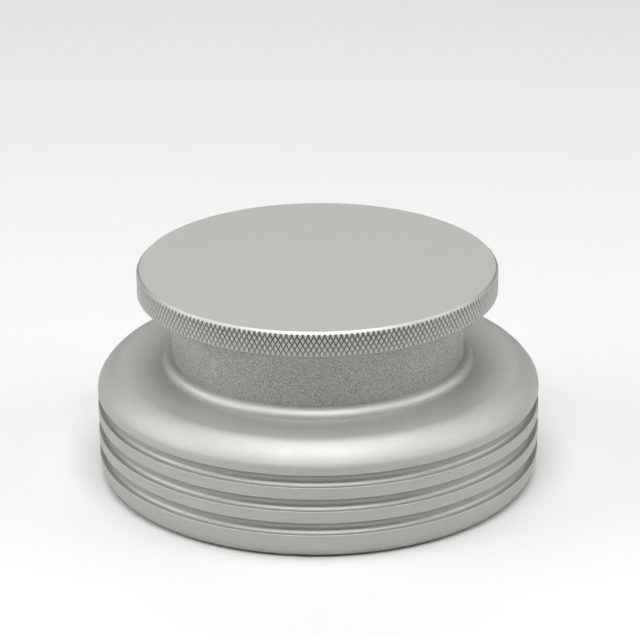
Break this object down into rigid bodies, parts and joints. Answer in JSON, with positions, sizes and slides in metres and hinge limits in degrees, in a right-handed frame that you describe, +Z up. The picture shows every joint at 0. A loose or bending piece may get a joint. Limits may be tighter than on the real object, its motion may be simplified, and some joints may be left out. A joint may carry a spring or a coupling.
{
  "type": "record weight",
  "caption": "Turned aluminium record weight: a grooved, round-shouldered base, a waisted neck and a knurled knob, with a blind spindle bore underneath.",
  "frame": {"origin": "middle of the underside, on the axis of the spindle bore, in the plane that the weight stands on", "axes": "+Z up along the turning axis, from the underside to the top face; X and Y are alike"},
  "size_m": [0.08, 0.08, 0.0391],
  "materials": {
    "satin_aluminium": "bead-blasted and clear anodised satin aluminium"
  },
  "bodies": {
    "root": {"weight_body": "satin_aluminium"}
  },
  "joints": []
}
